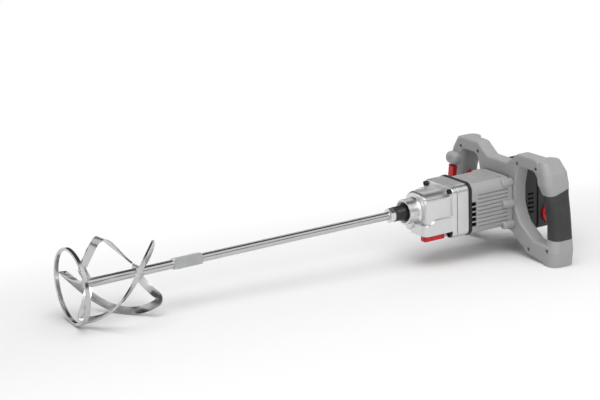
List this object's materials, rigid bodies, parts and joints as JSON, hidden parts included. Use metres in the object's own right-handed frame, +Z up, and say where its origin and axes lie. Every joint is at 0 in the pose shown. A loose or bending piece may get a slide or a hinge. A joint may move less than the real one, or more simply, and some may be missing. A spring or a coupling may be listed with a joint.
{
  "type": "mixing drill",
  "caption": "Two-handed stirring machine with a screwed-in helical paddle, gearbox with selector lever, ribbed motor housing, handle frame, trigger, lock button and dial.",
  "frame": {"origin": "on the spindle axis in the front face of the clamping collar", "axes": "+X along the spindle towards the handles, paddle towards -X, +Z up, the trigger's grip on the +Y side"},
  "size_m": [0.907, 0.3062, 0.18],
  "materials": {
    "polished_steel": "polished",
    "bright_steel": "satin",
    "black_steel": "satin black",
    "cast_aluminium": "fine cast, satin",
    "gear_steel": "ground",
    "screw_steel": "zinc plated",
    "black_rubber": "matt",
    "black_plastic": "fine grain",
    "grey_plastic": "fine grain",
    "grip_rubber": "soft matt",
    "dark_plastic": "fine grain",
    "red_plastic": "smooth",
    "core_iron": "laminated",
    "copper": "enamelled wire",
    "carbon": "sooty"
  },
  "bodies": {
    "housing": {"air_guide": "black_plastic", "armature_front_bearing": "gear_steel", "armature_rear_bearing": "gear_steel", "bearing_carrier": "cast_aluminium", "brush_holders": "black_plastic", "brushes": "carbon", "cap_screws": "screw_steel", "control_module": "black_plastic", "damping_ring": "black_rubber", "far_grip_sleeve": "grip_rubber", "field_coils": "copper", "fork_rod": "gear_steel", "frame_front": "grey_plastic", "frame_rear": "grey_plastic", "frame_screws": "screw_steel", "gear_housing": "cast_aluminium", "gearbox_plate": "cast_aluminium", "gearbox_screws": "screw_steel", "inlet_bush": "black_rubber", "layshaft_bearing_front": "gear_steel", "layshaft_bearing_rear": "gear_steel", "motor_housing": "grey_plastic", "motor_screws": "screw_steel", "near_grip_sleeve": "grip_rubber", "oil_seal": "black_rubber", "rear_cap": "dark_plastic", "rear_housing": "black_plastic", "spindle_front_bearing": "gear_steel", "spindle_rear_bearing": "gear_steel", "stator_core": "core_iron", "switch_block": "black_plastic"},
    "spindle": {"spindle": "black_steel", "low_gear": "gear_steel", "lock_nut": "bright_steel", "upper_rod": "polished_steel", "coupling": "bright_steel", "lower_rod": "polished_steel", "band_1": "polished_steel", "band_2": "polished_steel", "band_3": "polished_steel", "hoop": "polished_steel"},
    "sleeve": {"shift_sleeve": "gear_steel"},
    "high_gear": {"high_gear": "gear_steel"},
    "layshaft": {"layshaft": "gear_steel", "low_pinion": "gear_steel", "high_pinion": "gear_steel", "layshaft_wheel": "gear_steel"},
    "armature": {"armature_shaft": "gear_steel", "drive_pinion": "gear_steel", "armature_core": "core_iron", "armature_winding": "copper", "commutator": "copper", "fan": "black_plastic"},
    "selector": {"selector_shaft": "gear_steel", "selector_lever": "red_plastic"},
    "fork": {"shift_fork": "gear_steel"},
    "trigger": {"trigger": "red_plastic"},
    "lock_button": {"lock_button": "red_plastic"},
    "dial": {"speed_dial": "red_plastic"}
  },
  "joints": [
    {"name": "spindle_spin", "type": "hinge", "parent": "housing", "child": "spindle", "pos_m": [0, 0, 0], "axis": [1, 0, 0], "continuous": true},
    {"name": "layshaft_spin", "type": "hinge", "parent": "housing", "child": "layshaft", "pos_m": [0.057, 0.01774, -0.02723], "axis": [1, 0, 0], "continuous": true},
    {"name": "armature_spin", "type": "hinge", "parent": "housing", "child": "armature", "pos_m": [0.159, 0, -0.018], "axis": [1, 0, 0], "continuous": true},
    {"name": "high_gear_spin", "type": "hinge", "parent": "housing", "child": "high_gear", "pos_m": [0.059, 0, 0], "axis": [1, 0, 0], "continuous": true},
    {"name": "sleeve_slide", "type": "slide", "parent": "spindle", "child": "sleeve", "axis": [1, 0, 0], "range_m": [0, 0.005]},
    {"name": "selector_turn", "type": "hinge", "parent": "housing", "child": "selector", "pos_m": [0.0475, -0.0175, -0.04], "axis": [0, 0, 1], "range_deg": [0, 60]},
    {"name": "fork_slide", "type": "slide", "parent": "housing", "child": "fork", "axis": [1, 0, 0], "range_m": [0, 0.005]},
    {"name": "trigger_pull", "type": "slide", "parent": "housing", "child": "trigger", "axis": [1, 0, 0], "range_m": [0, 0.006], "stiffness_N_per_m": 900, "springref_m": -0.004},
    {"name": "lock_press", "type": "slide", "parent": "housing", "child": "lock_button", "axis": [0, 0.9877, 0.1564], "range_m": [0, 0.002], "stiffness_N_per_m": 900, "springref_m": -0.003},
    {"name": "dial_turn", "type": "hinge", "parent": "housing", "child": "dial", "pos_m": [0.279, -0.045, -0.042], "axis": [0, 1, 0], "range_deg": [0, 270]}
  ],
  "couplings": [
    {"joint": "layshaft_spin", "follows": "spindle_spin", "ratio": -3.7273},
    {"joint": "armature_spin", "follows": "spindle_spin", "ratio": 14.909},
    {"joint": "high_gear_spin", "follows": "spindle_spin", "ratio": 1.9733},
    {"joint": "fork_slide", "follows": "selector_turn", "m_per_rad": 0.0047747},
    {"joint": "sleeve_slide", "follows": "selector_turn", "m_per_rad": 0.0047747}
  ]
}
